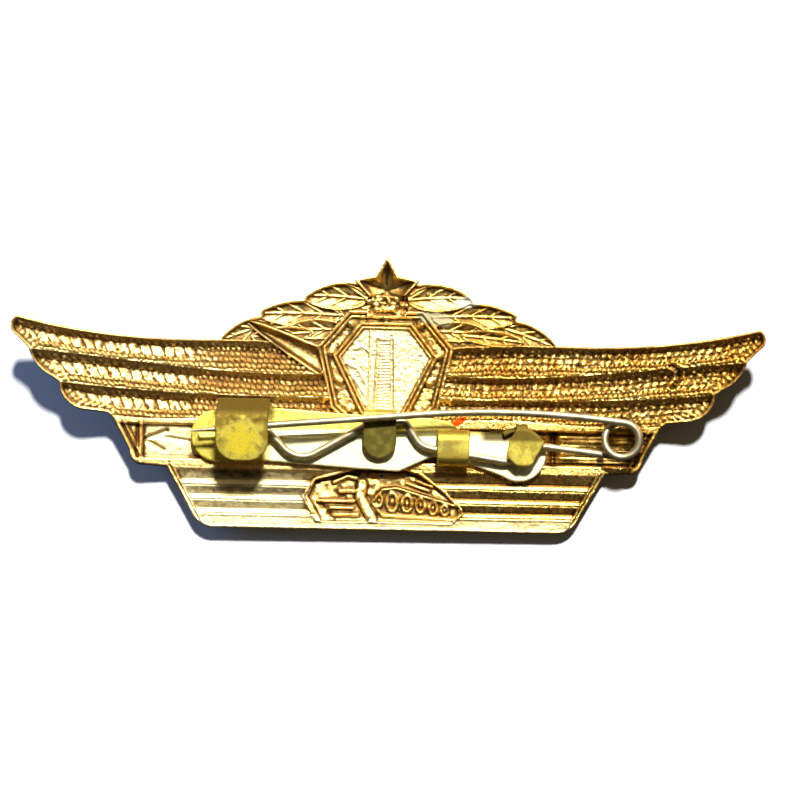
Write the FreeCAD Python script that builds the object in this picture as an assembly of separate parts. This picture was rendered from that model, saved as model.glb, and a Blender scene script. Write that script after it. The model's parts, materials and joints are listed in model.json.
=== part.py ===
import FreeCAD, Part
import math
import os

# Pilot wings pin: a stamped gilt badge with a safety-pin wire fixed across its back.
# Millimetres. +Z is up as the badge is worn, +Y points at the wearer, and +X runs along the
# wings towards the catch. The origin is the middle of the closed pin's box.

# ---- overall ----
SPAN = 74.3                 # wing tip to wing tip
HEIGHT = 27.3               # star's top point to the bar's bottom edge
DEPTH = 6.4                 # shield's face to the outside of the catch
TOP = HEIGHT / 2
BOTTOM = -HEIGHT / 2

# ---- stamped badge ----
SHEET = 0.8                 # thickness of the brass
SHIELD_RISE = 0.9           # shield and star stand this far in front of the sheet
FEATHER_RISE = 0.35         # feather rows, wreath and panels stand this far in front
FLAT_HALF = 19.5            # the badge is flat to this X, where each wing is folded
FOLD = math.radians(8)      # back by this much,
FOLD_RADIUS = 12.0          # over this radius,
WING_RADIUS = 90.0          # and goes on bending gently to its tip
BACK = -DEPTH / 2 + SHIELD_RISE + SHEET      # Y of the flat back face
CREST_X = 0.25              # star and shield sit slightly to the catch's side
ENAMEL = 0.4                # depth of the enamel in its cells
PAD_MARGIN = 0.15           # gap between a feather row's edge and its raised pad,
TROUGH_MARGIN = 0.4         # and to the trough behind it
PAST_TIP = SPAN / 2 + 2     # X to which the bent sheet is drawn before it is cut to its outline

# ---- star and shield ----
STAR_RADIUS = 3.4
STAR_WAIST = 0.545          # inner corners, as a share of the star's radius
STAR_HOLLOW = 0.72          # the hollow behind the star, as a share of its size,
STAR_CELL = 0.78            # and the enamel in front
STAR_Z = TOP - STAR_RADIUS
SHIELD_TOP = 7.5
SHIELD_SHOULDER = 4.6
SHIELD_BOTTOM = -6.2
CELL_INSET = 1.75           # width of the frame round the shield's enamel
SHIELD_WALL = 0.8           # width of the shield's wall round its hollow

# ---- mounting plate ----
SOLDER = 0.12               # solder between badge and plate
SOLDER_SHY = 0.2            # the solder ends this far inside the plate's round ends
PLATE = 0.45                # thickness of the plate's brass
PLATE_BACK = BACK + SOLDER + PLATE
CATCH_END = (16.85, -4.5)   # centre of the rounded end by the catch
CATCH_END_RADIUS = 2.57
DISC = (-13.2, -5.75)       # centre of the round end by the spring
DISC_RADIUS = 2.72
RIB_RISE = 0.2              # pressed rib's height
RIB_WIDTH = 0.7
RIB_ENDS = (18.6, -4.66), (-6.6, -3.62)
LIP = 1.1                   # height of the lip turned up round the disc's top edge

# ---- pin wire ----
WIRE_RADIUS = 0.36
SHANK_RADIUS = 0.33         # where the shank has been drawn down
POINT_RADIUS = 0.06
FIT_GAP = 0.03              # between a folded tab and the wire it holds
ANCHOR_Y = PLATE_BACK + RIB_RISE + WIRE_RADIUS + FIT_GAP
TAB_UNDER = ANCHOR_Y + WIRE_RADIUS + FIT_GAP
SHANK_GAP = 0.36            # between the folded tabs and the shank above them
SHANK_Y = TAB_UNDER + PLATE + SHANK_RADIUS + SHANK_GAP
COIL = (-23.3, -4.07)       # centre of the spring coil
COIL_RADIUS = 1.7
LEG_TILT = math.radians(7.2)        # anchor leg's slope where it meets the coil
SHANK_TILT = math.radians(-5.19)    # slope of the straight shank, falling to the point
SHANK_START = (-3.3, -1.99)         # where the bowed stretch ends and the straight one starts
PARALLEL_FROM = 7.3                 # distances along the straight shank: the parallel stretch
PARALLEL_TO = 13.3                  # that the cloth rides on,
TAPER_FROM = 19.4                   # the sharpened end
SHANK_LENGTH = 22.9                 # and the point
SLIM_RADIUS = 0.31                  # shank's radius where the sharpening starts

# ---- catch and tabs: (x low, x high), then Z of the fold and of the free end ----
CATCH_X = (11.6, 16.75)
CATCH_Z = (-0.72, -6.85)
CATCH_FOLD_Z = -0.52           # where the catch's wall would meet the plate with no bend
CATCH_ROOT_BEND = 0.5
CATCH_BEND = 0.7
CATCH_WALL = math.radians(71)  # turn of the wall's face and of the leaf's face off +Y
CATCH_FALL = math.radians(5.5)
CATCH_CORNER = 1.9             # radius of the leaf's two free corners
CENTRE_TAB_X = (-1.0, 2.3)
CENTRE_TAB_Z = (-1.55, -6.4)
CLIP_X = (-8.25, -5.05)
CLIP_Z = (-3.46, -7.05)
END_TAB_X = (-15.7, -11.8)
END_TAB_Z = (-2.75, -6.95)
TAB_BENDS = [0.45, 0.5]        # of the centre tab and the end tab, at the plate and at the leaf
CLIP_BENDS = [0.4, 0.9, 0.7]
TAB_FOOT = 1.9                 # length of a tab's strip that is one with the plate
LEAF_Y = TAB_UNDER + PLATE / 2         # middle of a leaf that lies on the wire
CENTRE_FOLD_Y = LEAF_Y + 0.28          # where the two leaves that fall to their free ends start
END_FOLD_Y = LEAF_Y + 0.25
CENTRE_FALL = math.radians(11)         # and their slopes
END_FALL = math.radians(4)
CLIP_END_GAP = 0.3             # between the clip's rolled-under edge and the plate

# corners of the anchor leg as X, Z and bend radius; the last one is its end
LEG_BENDS = [
    (-15.6, -4.9, 1.5), (-11.9, -6.5, 1.5), (-3.44, -5.19, 2.2), (-1.8, -2.65, 0.7),
    (1.9, -3.12, 1.0), (8.74, -7.03, 2.6), (11.9, -3.75, 1.0), (13.8, -3.2, 0)]

FAR = 60.0                  # longer than anything on the badge


def at(x, z, y=0.0):
    return FreeCAD.Vector(x, y, z)


def outline(start, steps):
    """Edges in the XZ plane. A step is (end,) for a line, or (through, end) for an arc."""
    edges = []
    here = start
    for step in steps:
        if len(step) == 1:
            edges.append(Part.makeLine(at(*here), at(*step[0])))
        else:
            edges.append(Part.Arc(at(*here), at(*step[0]), at(*step[1])).toShape())
        here = step[-1]
    return edges


def wire(edges):
    return Part.Wire(Part.__sortEdges__(edges))


def polygon(points):
    return wire(outline(points[0], [(p,) for p in points[1:] + points[:1]]))


def both_sides(edges, middle=0.0):
    """Closes a half outline with its mirror image in the plane X = middle."""
    return wire(edges + [e.mirror(at(middle, 0), FreeCAD.Vector(1, 0, 0)) for e in edges])


def mirrored(shape):
    return shape.mirror(at(0, 0), FreeCAD.Vector(1, 0, 0))


def plate_between(closed_wire, y_low, y_high):
    face = Part.Face(closed_wire)
    face.translate(FreeCAD.Vector(0, y_low, 0))
    return face.extrude(FreeCAD.Vector(0, y_high - y_low, 0))


def swept_arc(centre, radius, first, last):
    """Part of a circle seen from above, by angles from straight in front of its centre."""
    points = []
    for angle in (first, (first + last) / 2, last):
        points.append(centre + FreeCAD.Vector(math.sin(angle), -math.cos(angle), 0) * radius)
    return Part.Arc(*points).toShape(), points[0], points[2]


def sheet_curve(depth):
    """The badge's section seen from above, at a depth in front of its back face."""
    fold_centre = FreeCAD.Vector(FLAT_HALF, BACK + FOLD_RADIUS, 0)
    turned = FreeCAD.Vector(math.sin(FOLD), -math.cos(FOLD), 0)
    wing_centre = fold_centre - turned * (WING_RADIUS - FOLD_RADIUS)
    turn = math.asin((PAST_TIP - wing_centre.x) / WING_RADIUS)
    fold, root, fold_end = swept_arc(fold_centre, FOLD_RADIUS + depth, 0, FOLD)
    wing, wing_start, tip = swept_arc(wing_centre, WING_RADIUS + depth, FOLD, turn)
    flat = Part.makeLine(FreeCAD.Vector(-root.x, root.y, 0), root)
    return [mirrored(wing), mirrored(fold), flat, fold, wing], tip


def slab(depth_low, depth_high):
    """The space between two depths in front of the badge's back, following the arch."""
    low, low_tip = sheet_curve(depth_low)
    high, high_tip = sheet_curve(depth_high)
    side = Part.makeLine(low_tip, high_tip)
    face = Part.Face(wire(low + high + [side, mirrored(side)]))
    face.translate(FreeCAD.Vector(0, 0, -FAR / 2))
    return face.extrude(FreeCAD.Vector(0, 0, FAR))


def relief(closed_wire, depth_low, depth_high):
    """A raised or sunk area of the stamping, bounded by an outline and two depths."""
    return plate_between(closed_wire, -FAR, FAR).common(slab(depth_low, depth_high))


def silhouette():
    half = outline((0, 10.95), [
        ((3.0, 10.95),),
        ((6.3, 10.7), (8.3, 9.6)),
        ((8.45, 9.2),),
        ((10.9, 8.85), (12.75, 8.1)),
        ((12.75, 7.5),),
        ((15.2, 6.6), (16.75, 5.15)),
        ((27.2, 5.4), (36.55, 7.0)),
        ((SPAN / 2, 6.0), (36.55, 5.0)),
        ((35.4, 3.8),),
        ((34.6, 2.2), (33.1, 1.0)),
        ((32.4, 0.45),),
        ((31.25, -1.7), (29.55, -2.25)),
        ((27.7, -2.45),),
        ((27.2, -2.9),),
        ((25.5, -6.1),),
        ((25.05, -7.2), (24.0, -7.55)),
        ((21.8, -7.7),),
        ((19.2, -12.4),),
        ((18.25, -13.32), (17.0, BOTTOM)),
        ((0, BOTTOM),),
    ])
    return both_sides(half)


def star(radius):
    points = []
    for corner in range(10):
        angle = math.pi / 2 + corner * math.pi / 5
        reach = radius * (1 if corner % 2 == 0 else STAR_WAIST)
        points.append((CREST_X + reach * math.cos(angle), STAR_Z + reach * math.sin(angle)))
    return polygon(points)


def shield(inset):
    """Six-sided shield with a pointed foot, drawn inset from its outer edge."""
    half = [
        (0, SHIELD_TOP - inset),
        (4.1 - inset * 0.6, SHIELD_TOP - inset),
        (6.75 - inset * 1.05, SHIELD_SHOULDER - inset * 0.4),
        (5.3 - inset, -1.5),
        (0, SHIELD_BOTTOM + inset * 1.4),
    ]
    half = [(CREST_X + x, z) for x, z in half]
    return both_sides(outline(half[0], [(p,) for p in half[1:]]), CREST_X)


def feather_row(number, margin):
    """One of a wing's three rows, counted from the top, on the catch's side."""
    edges = [
        [(8.0, 4.3), (24.0, 4.85), (35.55, 6.55)],
        [(8.0, 1.9), (24.3, 2.45), (34.7, 3.65)],
        [(8.0, -0.5), (22.0, -0.35), (31.9, 0.55)],
        [(8.0, -2.8), (19.0, -2.75), (29.4, -2.1)],
    ]
    top = [(x, z - margin) for x, z in edges[number]]
    low = [(x, z + margin) for x, z in edges[number + 1]]
    return wire(outline(top[0], [(top[1], top[2]), (low[2],), (low[1], low[0]), (top[0],)]))


def wreath(margin):
    return both_sides(outline((CREST_X, 10.9 - margin), [
        ((3.2, 10.9 - margin),),
        ((9.6, 9.0 - margin), (15.6 - margin, 5.6),),
        ((CREST_X, 5.6),),
    ]), CREST_X)


def end_panel(margin):
    return polygon([
        (19.8, -3.2 - margin), (26.3 - margin, -3.2 - margin),
        (25.1 - margin, -7.1 + margin), (19.8, -7.1 + margin)])


def bar_groove(z_middle, height):
    """A level groove from the vehicle out to the bar's slanting end."""
    edge = 20.6 + (z_middle + 7.7) * 0.55
    return polygon([
        (9.0, z_middle + height / 2), (edge, z_middle + height / 2),
        (edge - height / 2, z_middle - height / 2), (9.0, z_middle - height / 2)])


def vehicle(margin):
    return polygon([
        (8.2 - margin, -10.4), (6.6 - margin, -9.0 - margin), (1.5, -8.0 - margin), (-3.0, -8.6 - margin),
        (-7.4 + margin, -10.8), (-7.0 + margin, -12.3 + margin), (7.0 - margin, -12.9 + margin)])


def badge_body():
    body = relief(silhouette(), 0, SHEET)
    raised = [
        relief(star(STAR_RADIUS), 0, SHEET + SHIELD_RISE),
        relief(shield(0), SHEET / 2, SHEET + SHIELD_RISE),
        relief(wreath(0.5), SHEET / 2, SHEET + FEATHER_RISE),
        relief(vehicle(0), SHEET / 2, SHEET + FEATHER_RISE),
    ]
    sunk = [
        relief(star(STAR_RADIUS * STAR_HOLLOW), -FEATHER_RISE, SHIELD_RISE),
        relief(shield(SHIELD_WALL), -FEATHER_RISE, SHIELD_RISE),
        relief(vehicle(0.5), -FEATHER_RISE, FEATHER_RISE),
        shield_enamel(),
        star_enamel(),
    ]
    per_side = []
    for row in range(3):
        per_side.append((feather_row(row, PAD_MARGIN), feather_row(row, TROUGH_MARGIN)))
    per_side.append((end_panel(0.1), end_panel(0.4)))
    for z_middle in (-8.5, -10.1, -11.7):
        per_side.append((bar_groove(z_middle, 1.0), bar_groove(z_middle, 0.7)))
    for outer, inner in per_side:
        pad = relief(outer, SHEET / 2, SHEET + FEATHER_RISE)
        trough = relief(inner, -FEATHER_RISE, FEATHER_RISE)
        raised += [pad, mirrored(pad)]
        sunk += [trough, mirrored(trough)]
    body = body.fuse(raised).removeSplitter()
    return body.cut(sunk)


def shield_enamel():
    return relief(shield(CELL_INSET), SHEET + SHIELD_RISE - ENAMEL, SHEET + SHIELD_RISE)


def star_enamel():
    return relief(star(STAR_RADIUS * STAR_CELL), SHEET + SHIELD_RISE - ENAMEL, SHEET + SHIELD_RISE)


def solder_pads():
    pads = []
    for (x, z), radius in ((CATCH_END, CATCH_END_RADIUS), (DISC, DISC_RADIUS)):
        pads.append(Part.makeCylinder(
            radius - SOLDER_SHY, SOLDER, at(x, z, BACK), FreeCAD.Vector(0, 1, 0)))
    return Part.Compound(pads)


def bent_strip(points, bends, x_low, x_high):
    """Sheet brass folded along (Y, Z) points with rounded bends, as wide as the X span."""
    path = rounded_path([FreeCAD.Vector(x_low, y, z) for y, z in points], bends)
    along = (path.Vertexes[1].Point - path.Vertexes[0].Point).normalize()
    across = FreeCAD.Vector(1, 0, 0).cross(along) * (PLATE / 2)
    start = path.Vertexes[0].Point
    wide = FreeCAD.Vector(x_high - x_low, 0, 0)
    corners = [start + across, start + across + wide, start - across + wide, start - across]
    section = Part.makePolygon(corners + corners[:1])
    return Part.Wire(path).makePipeShell([section], True, False)


def rounded_path(points, bends):
    """An open wire through points, each inner corner turned into an arc of its own radius."""
    edges = []
    here = points[0]
    for before, corner, after, bend in zip(points, points[1:], points[2:], bends):
        back = (before - corner).normalize()
        ahead = (after - corner).normalize()
        half_turn = back.getAngle(ahead) / 2
        reach = bend / math.tan(half_turn)
        middle = (back + ahead).normalize() * (bend / math.sin(half_turn))
        nearest = corner + middle - (back + ahead).normalize() * bend
        arc_start = corner + back * reach
        arc_end = corner + ahead * reach
        if (arc_start - here).Length > 1e-6:
            edges.append(Part.makeLine(here, arc_start))
        edges.append(Part.Arc(arc_start, nearest, arc_end).toShape())
        here = arc_end
    edges.append(Part.makeLine(here, points[-1]))
    return Part.Wire(edges)


def folded_tab(x_span, fold_z, corners, bends, tip=None):
    """A tab that folds back at the plate's top edge and runs through (Y, Z) corners.

    The bends are the fold's radius and one for each corner but the last, which is the free
    end. The tip is the plan of that end.
    """
    root_y = PLATE_BACK - PLATE / 2
    wall_z = fold_z - PLATE / 2
    points = [(root_y, wall_z - TAB_FOOT), (root_y, wall_z)] + corners
    strip = bent_strip(points, bends, x_span[0], x_span[1])
    if tip is None:
        return strip
    return strip.common(plate_between(tip, BACK, DEPTH))


def catch():
    """The wall leans over the shank, turns at the object's highest place and falls a little."""
    root_y = PLATE_BACK - PLATE / 2
    half = (CATCH_WALL + CATCH_FALL) / 2
    ridge_turn = (CATCH_WALL - CATCH_FALL) / 2
    reach = CATCH_BEND / math.cos(half)
    ridge_y = DEPTH / 2 - PLATE / 2 - CATCH_BEND + reach * math.cos(ridge_turn)
    ridge_z = CATCH_FOLD_Z - PLATE / 2 - (ridge_y - root_y) / math.tan(CATCH_WALL)
    free_y = ridge_y - (ridge_z - CATCH_Z[1]) * math.tan(CATCH_FALL)
    return folded_tab(
        CATCH_X, CATCH_FOLD_Z, [(ridge_y, ridge_z), (free_y, CATCH_Z[1])],
        [CATCH_ROOT_BEND, CATCH_BEND], tongue_tip(CATCH_X, CATCH_Z, CATCH_CORNER))


def sloping_tab(x_span, z_span, fold_y, fall, bends, tip):
    """A tab with an upright wall and a leaf that falls towards its free end."""
    wall_z = z_span[0] - PLATE / 2
    free_y = fold_y - (wall_z - z_span[1]) * math.tan(fall)
    return folded_tab(x_span, z_span[0], [(fold_y, wall_z), (free_y, z_span[1])], bends, tip)


def clip():
    """A band rolled right over the wire, its free edge turned back to the plate."""
    wall_z = CLIP_Z[0] - PLATE / 2
    free_z = CLIP_Z[1] + PLATE / 2
    corners = [(LEAF_Y, wall_z), (LEAF_Y, free_z), (PLATE_BACK + CLIP_END_GAP, free_z)]
    return folded_tab(CLIP_X, CLIP_Z[0], corners, CLIP_BENDS)


def tongue_tip(x_span, z_span, radius):
    """Plan of a tab whose free end is rounded at both corners."""
    low, high = x_span
    free = z_span[1]
    return wire(outline((low, FAR), [
        ((low, free + radius),),
        ((low + radius * 0.3, free + radius * 0.3), (low + radius, free)),
        ((high - radius, free),),
        ((high - radius * 0.3, free + radius * 0.3), (high, free + radius)),
        ((high, FAR),),
        ((low, FAR),),
    ]))


def half_round_tip(x_span, z_span):
    low, high = x_span
    radius = (high - low) / 2
    free = z_span[1]
    return wire(outline((low, FAR), [
        ((low, free + radius),),
        (((low + high) / 2, free), (high, free + radius)),
        ((high, FAR),),
        ((low, FAR),),
    ]))


def leaf_tip():
    """Plan of the six-sided end tab, narrow at its fold and at its free end."""
    return polygon([
        (-13.95, -1.75), (-14.0, -3.15), (-15.68, -4.4), (-15.36, -5.1), (-14.55, -6.6),
        (-14.2, -6.9), (-12.95, -6.9), (-11.94, -5.95), (-12.17, -4.45), (-12.81, -3.35),
        (-12.9, -1.75)])


def plate_outline():
    end_x, end_z = CATCH_END
    disc_x, disc_z = DISC
    disc_foot = (disc_x + DISC_RADIUS * math.cos(0.95), disc_z - DISC_RADIUS * math.sin(0.95))
    disc_head = (disc_x + DISC_RADIUS * math.cos(1.25), disc_z + DISC_RADIUS * math.sin(1.25))
    return wire(outline((end_x, end_z + CATCH_END_RADIUS), [
        ((end_x + CATCH_END_RADIUS, end_z), (end_x, end_z - CATCH_END_RADIUS)),
        ((11.7, -6.92),),
        ((3.7, -7.45),),
        ((-1.3, -7.7),),
        ((-4.7, -6.1),),
        ((-8.6, -6.9),),
        (disc_foot,),
        ((disc_x - DISC_RADIUS, disc_z), disc_head),
        ((-10.1, -3.6),),
        ((-7.4, -3.55),),
        ((-6.2, -2.6),),
        ((-4.5, -2.35),),
        ((3.65, -2.1),),
        ((10.8, -1.65),),
        ((end_x, end_z + CATCH_END_RADIUS),),
    ]))


def disc_lip():
    """Low wall turned up from the disc's top edge, on both sides of the end tab's neck."""
    up = FreeCAD.Vector(0, 1, 0)
    ring = Part.makeCylinder(DISC_RADIUS, LIP, at(*DISC, PLATE_BACK - PLATE), up)
    hole = Part.makeCylinder(DISC_RADIUS - PLATE, FAR, at(*DISC, BACK), up)
    x, z = DISC
    sector = polygon([(x, z), (x - 4.2, z + 3.4), (x, z + 6), (x + 3.2, z + 4)])
    return ring.cut(hole).common(plate_between(sector, BACK, DEPTH))


def mounting_plate():
    plate = plate_between(plate_outline(), PLATE_BACK - PLATE, PLATE_BACK)
    rib_start, rib_end = [at(x, z, PLATE_BACK + RIB_RISE - RIB_WIDTH / 2) for x, z in RIB_ENDS]
    along = rib_end - rib_start
    rib = Part.makeCylinder(RIB_WIDTH / 2, along.Length, rib_start, along)
    rib = rib.common(plate_between(plate_outline(), PLATE_BACK - PLATE / 2, DEPTH))
    centre = sloping_tab(
        CENTRE_TAB_X, CENTRE_TAB_Z, CENTRE_FOLD_Y, CENTRE_FALL, TAB_BENDS,
        half_round_tip(CENTRE_TAB_X, CENTRE_TAB_Z))
    end = sloping_tab(END_TAB_X, END_TAB_Z, END_FOLD_Y, END_FALL, TAB_BENDS, leaf_tip())
    return plate.fuse([rib, catch(), centre, clip(), end, disc_lip()]).removeSplitter()


def round_bar(path, radius, start, along):
    section = Part.Wire(Part.makeCircle(radius, start, along))
    return path.makePipeShell([section], True, False)


def anchor_wire():
    """The fixed end of the pin wire, held flat on the plate by the folded tabs."""
    coil_x, coil_z = COIL
    start = at(
        coil_x + COIL_RADIUS * math.sin(LEG_TILT), coil_z - COIL_RADIUS * math.cos(LEG_TILT), ANCHOR_Y)
    points = [start] + [at(x, z, ANCHOR_Y) for x, z, bend in LEG_BENDS]
    path = rounded_path(points, [bend for x, z, bend in LEG_BENDS])
    return round_bar(path, WIRE_RADIUS, start, points[1] - start)


def shank_departure():
    """Slope at which the bowed shank leaves the coil and still runs smoothly into both."""
    leave = 0.0
    for _ in range(20):
        coil_x, coil_z = shank_root(leave)
        chord = math.atan2(SHANK_START[1] - coil_z, SHANK_START[0] - coil_x)
        leave = 2 * chord - SHANK_TILT
    return leave


def shank_root(leave):
    return COIL[0] - COIL_RADIUS * math.sin(leave), COIL[1] + COIL_RADIUS * math.cos(leave)


def spring_coil():
    """One and a half turns of wire between the anchor leg and the shank."""
    turns = 1.5 + (LEG_TILT - shank_departure()) / (2 * math.pi)
    rise = SHANK_Y - ANCHOR_Y
    helix = Part.makeHelix(rise / turns, rise, COIL_RADIUS)
    slope = math.atan2(rise / turns, 2 * math.pi * COIL_RADIUS)
    section = Part.Wire(Part.makeCircle(
        WIRE_RADIUS, FreeCAD.Vector(COIL_RADIUS, 0, 0),
        FreeCAD.Vector(0, math.cos(slope), math.sin(slope))))
    coil = Part.Wire(helix.Edges).makePipeShell([section], True, True)
    coil.rotate(at(0, 0), FreeCAD.Vector(0, 0, 1), 90 - math.degrees(LEG_TILT))
    coil.rotate(at(0, 0), FreeCAD.Vector(1, 0, 0), -90)
    coil.translate(at(*COIL, ANCHOR_Y))
    return coil


def pin_shank():
    """The moving arm: a bowed stretch off the coil, then a straight one down to the point."""
    leave = shank_departure()
    root = at(*shank_root(leave), SHANK_Y)
    start = at(*SHANK_START, SHANK_Y)
    chord = start - root
    sag = chord.Length / 2 * math.tan((leave - SHANK_TILT) / 4)
    crown = (root + start) * 0.5 + FreeCAD.Vector(-chord.z, 0, chord.x).normalize() * sag
    bow = Part.Wire(Part.Arc(root, crown, start).toShape())
    shank = round_bar(bow, WIRE_RADIUS, root, at(math.cos(leave), math.sin(leave)))
    along = at(math.cos(SHANK_TILT), math.sin(SHANK_TILT))
    stretches = [
        (0, WIRE_RADIUS, PARALLEL_FROM, SHANK_RADIUS),
        (PARALLEL_FROM, SHANK_RADIUS, PARALLEL_TO, SHANK_RADIUS),
        (PARALLEL_TO, SHANK_RADIUS, TAPER_FROM, SLIM_RADIUS),
        (TAPER_FROM, SLIM_RADIUS, SHANK_LENGTH, POINT_RADIUS),
    ]
    for begin, radius, end, end_radius in stretches:
        foot = start + along * begin
        if radius == end_radius:
            shank = shank.fuse(Part.makeCylinder(radius, end - begin, foot, along))
        else:
            shank = shank.fuse(Part.makeCone(radius, end_radius, end - begin, foot, along))
    return shank


def export(name, shape):
    if shape.ShapeType == "Compound" and len(shape.Solids) == 1:
        shape = shape.Solids[0]
    shape.exportStep("parts/" + name + ".step")
    print(name, len(shape.Solids), "solid,", round(shape.Volume, 3), "mm3, valid", shape.isValid())


os.makedirs("parts", exist_ok=True)
export("badge_body", badge_body())
export("star_enamel", star_enamel())
export("shield_enamel", shield_enamel())
export("solder", solder_pads())
export("mounting_plate", mounting_plate())
export("anchor_wire", anchor_wire())
export("spring_coil", spring_coil())
export("pin_shank", pin_shank())
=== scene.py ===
import json
import math

import bpy
import numpy as np
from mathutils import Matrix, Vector
from mathutils.geometry import delaunay_2d_cdt
from mathutils.kdtree import KDTree


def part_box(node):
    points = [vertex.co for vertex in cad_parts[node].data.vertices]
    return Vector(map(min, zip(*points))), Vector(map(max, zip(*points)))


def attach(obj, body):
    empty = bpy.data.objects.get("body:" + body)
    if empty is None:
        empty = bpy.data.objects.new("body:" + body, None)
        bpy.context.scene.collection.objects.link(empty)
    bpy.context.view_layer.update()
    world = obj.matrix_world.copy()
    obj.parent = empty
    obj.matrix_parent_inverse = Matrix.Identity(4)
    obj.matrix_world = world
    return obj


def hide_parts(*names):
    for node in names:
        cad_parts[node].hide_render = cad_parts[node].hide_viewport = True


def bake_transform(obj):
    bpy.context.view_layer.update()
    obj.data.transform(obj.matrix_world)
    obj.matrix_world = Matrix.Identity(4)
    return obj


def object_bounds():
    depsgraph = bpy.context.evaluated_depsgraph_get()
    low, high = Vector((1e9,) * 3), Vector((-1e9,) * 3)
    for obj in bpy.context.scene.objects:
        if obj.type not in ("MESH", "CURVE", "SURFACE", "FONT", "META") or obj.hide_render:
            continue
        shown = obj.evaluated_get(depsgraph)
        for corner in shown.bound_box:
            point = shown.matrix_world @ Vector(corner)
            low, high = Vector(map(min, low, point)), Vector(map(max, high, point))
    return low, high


# A gilt wings badge seen from its pin side. Sizes are in millimetres, in the CAD frame:
# X along the wings towards the catch, Y towards the wearer, Z up. "Depth" is measured from
# the badge's back face towards its front, so what is deep on the back stands proud in front.

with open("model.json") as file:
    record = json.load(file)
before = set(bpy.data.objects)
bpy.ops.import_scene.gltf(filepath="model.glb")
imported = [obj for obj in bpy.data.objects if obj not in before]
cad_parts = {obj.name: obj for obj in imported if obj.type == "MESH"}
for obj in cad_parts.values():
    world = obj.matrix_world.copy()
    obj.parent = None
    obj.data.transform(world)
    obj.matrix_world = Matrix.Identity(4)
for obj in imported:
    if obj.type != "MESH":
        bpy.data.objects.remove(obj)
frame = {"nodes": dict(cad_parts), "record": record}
cad_low, cad_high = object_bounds()
MM = 0.001
JOINTS = {j["name"]: j for j in frame["record"]["behaviour"]["joints"]}


# ---- places from the frame

def mm(place):
    return [c / MM for c in place]


HALF_SPAN, _, TOP = mm(cad_high)
_, FRONT, BOTTOM = mm(cad_low)
BACK = mm(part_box("solder")[0])[1]  # Y of the badge's flat back face
SHEET = 0.8  # thickness of the stamped sheet
RISE = BACK - SHEET - FRONT  # shield and star stand this far in front
COIL = mm(JOINTS["pin_swing"]["pos_m"])
SHANK_ROOT = mm(JOINTS["pin_lift"]["pos_m"])
SHANK_Y = SHANK_ROOT[1]
ANCHOR_Y = sum(mm(corner)[1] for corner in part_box("anchor_wire")) / 2

FLAT_HALF = 19.5  # the wings are folded back from here,
FOLD = math.radians(8)  # by this much,
FOLD_RADIUS = 12  # over this radius,
WING_RADIUS = 90  # and go on bending gently to their tips
CREST_X = 0.25  # middle of the star and the shield
CATCH_X = 14.2  # middle of the catch
STAR_RADIUS = 3.4
STAR_Z = TOP - STAR_RADIUS
STAR_WAIST = 0.545  # its inner corners' share of the radius


# ---- small maths helpers

def smooth(t):
    t = np.clip(t, 0, 1)
    return t * t * (3 - 2 * t)


def ramp(value, low, high):
    return smooth((value - low) / (high - low))


def between(value, start, full, still, end):
    """Rises from 0 to 1 between the first two levels, and falls back between the last two."""
    return ramp(value, start, full) * (1 - ramp(value, still, end))


def dish(t):
    """A rounded trough, 1 in its middle and 0 from t = 1 on."""
    return np.sqrt(np.clip(1 - t ** 2, 0, 1))


def bulge(t):
    """A row of rounded bumps, one per unit, that meet in narrow grooves."""
    f = t - np.floor(t)
    return 1 - (2 * f - 1) ** 2


def stripe(t, pitch, width):
    """A family of parallel lines: 1 on every line, 0 between them."""
    away = np.abs((t / pitch + 0.5) % 1 - 0.5) * pitch
    return np.exp(-(away / width) ** 2)


def speckle(x, z, pitch, phase=0):
    """Smooth random unevenness from 0 to 1 with lumps of a given size, the same on every run."""
    i, j = np.floor(x / pitch), np.floor(z / pitch)
    fx, fz = smooth(x / pitch - i), smooth(z / pitch - j)

    def at(di, dj):
        return (np.sin((i + di) * 12.9898 + (j + dj) * 78.233 + phase) * 43758.5453) % 1

    low = at(0, 0) * (1 - fx) + at(1, 0) * fx
    high = at(0, 1) * (1 - fx) + at(1, 1) * fx
    return low * (1 - fz) + high * fz


def line_bump(distance, width):
    """A smooth bump of height 1 along a line, given the distance to it."""
    return np.exp(-(distance / width) ** 2)


def segment_distance(x, z, a, b):
    dx, dz = b[0] - a[0], b[1] - a[1]
    t = np.clip(((x - a[0]) * dx + (z - a[1]) * dz) / (dx * dx + dz * dz), 0, 1)
    return np.hypot(x - a[0] - t * dx, z - a[1] - t * dz)


def path_distance(x, z, points):
    """Distance to an open chain of segments."""
    return np.min([segment_distance(x, z, a, b) for a, b in zip(points, points[1:])], axis=0)


def inset(x, z, corners):
    """How far inside a convex outline a point lies; negative outside. Corners go clockwise."""
    inner = []
    for a, b in zip(corners, corners[1:] + corners[:1]):
        dx, dz = b[0] - a[0], b[1] - a[1]
        inner.append(((x - a[0]) * dz - (z - a[1]) * dx) / math.hypot(dx, dz))
    return np.min(inner, axis=0)


def through(*points):
    """A smooth curve Z(X) through a few points."""
    xs, zs = zip(*points)
    return np.poly1d(np.polyfit(xs, zs, len(points) - 1))


# ---- the badge's outline

def straight(start, end, spacing):
    """Points along a line, without the first one."""
    start, reach = np.array(start), np.array(end) - np.array(start)
    count = max(1, round(math.hypot(*reach) / spacing))
    return [tuple(start + reach * i / count) for i in range(1, count + 1)]


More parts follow.
